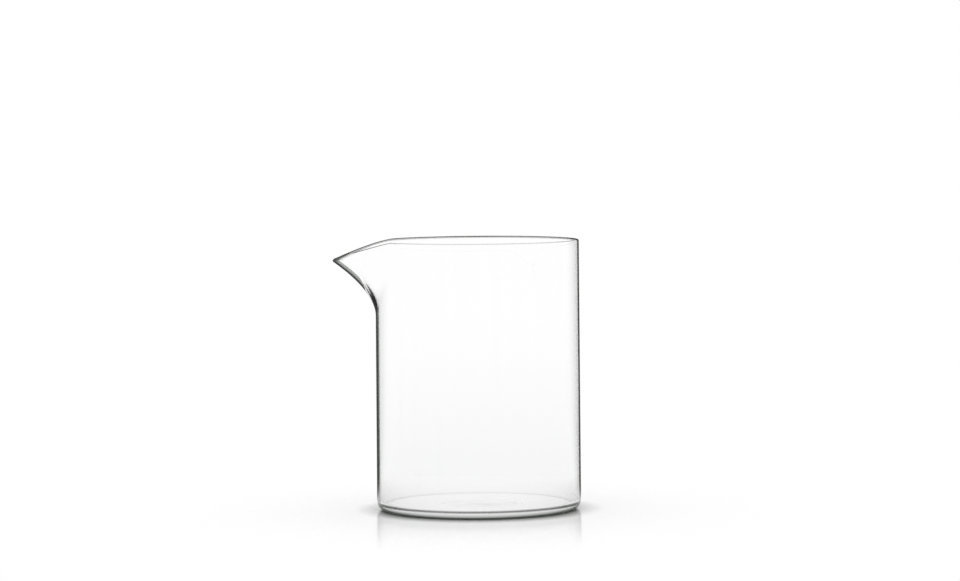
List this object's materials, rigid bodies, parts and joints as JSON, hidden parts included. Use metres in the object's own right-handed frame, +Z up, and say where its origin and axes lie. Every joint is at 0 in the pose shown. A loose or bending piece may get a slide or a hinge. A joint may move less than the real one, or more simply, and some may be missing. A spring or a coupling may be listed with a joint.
{
  "type": "cocktail pitcher",
  "caption": "Straight cylindrical pitcher of thin clear glass, open at the top, with a beak spout pulled from its rim and no handle.",
  "frame": {"origin": "on the body's axis, in the plane that the bottom stands on", "axes": "+Z up along the body's axis, the spout towards -X, +Y to the pitcher's back as the picture sees it"},
  "size_m": [0.109, 0.09, 0.1185],
  "materials": {
    "clear_glass": "clear, fire-polished"
  },
  "bodies": {
    "root": {"glass_pitcher": "clear_glass"}
  },
  "joints": []
}
